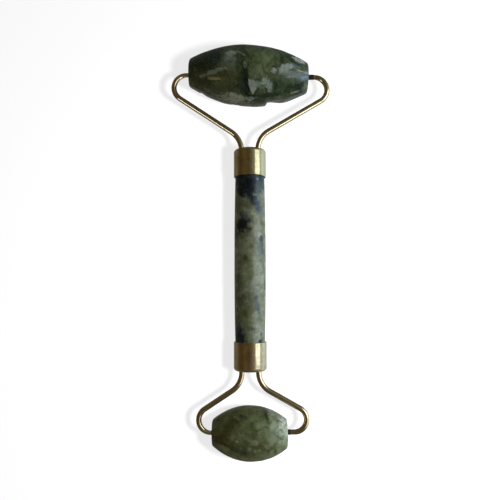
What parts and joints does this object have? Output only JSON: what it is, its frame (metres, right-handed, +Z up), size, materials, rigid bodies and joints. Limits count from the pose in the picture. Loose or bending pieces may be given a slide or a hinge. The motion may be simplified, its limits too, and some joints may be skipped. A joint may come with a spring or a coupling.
{
  "type": "jade face roller",
  "caption": "Hand-held facial massage roller: slim stone handle with brass end caps, bent-wire forks, and a large and a small barrel-shaped green stone that spin on them.",
  "frame": {"origin": "on the floor plane below the middle of the length and the handle's axis, with the roller lying flat on its two stones", "axes": "+Z up, +Y along the handle towards the large stone, +X to the right seen from above"},
  "size_m": [0.0567, 0.1449, 0.0212],
  "materials": {
    "dark_jade": "gloss",
    "light_jade": "satin",
    "handle_jade": "satin",
    "brass_cap": "satin",
    "brass_wire": "polished",
    "sleeve_plastic": "satin",
    "epoxy": "satin"
  },
  "bodies": {
    "handle_frame": {"handle": "handle_jade", "large_end_cap": "brass_cap", "small_end_cap": "brass_cap", "large_fork": "brass_wire", "small_fork": "brass_wire", "large_left_sleeve": "sleeve_plastic", "large_right_sleeve": "sleeve_plastic", "small_left_sleeve": "sleeve_plastic", "small_right_sleeve": "sleeve_plastic", "large_cap_adhesive": "epoxy", "small_cap_adhesive": "epoxy"},
    "large_roller": {"large_roller_stone": "dark_jade"},
    "small_roller": {"small_roller_stone": "light_jade"}
  },
  "joints": [
    {"name": "large_roller_spin", "type": "hinge", "parent": "handle_frame", "child": "large_roller", "pos_m": [0, 0.0618, 0.01062], "axis": [0.9998, -0.0192, 0], "continuous": true},
    {"name": "small_roller_spin", "type": "hinge", "parent": "handle_frame", "child": "small_roller", "pos_m": [0, -0.06325, 0.00915], "axis": [1, 0.007, 0], "continuous": true}
  ]
}
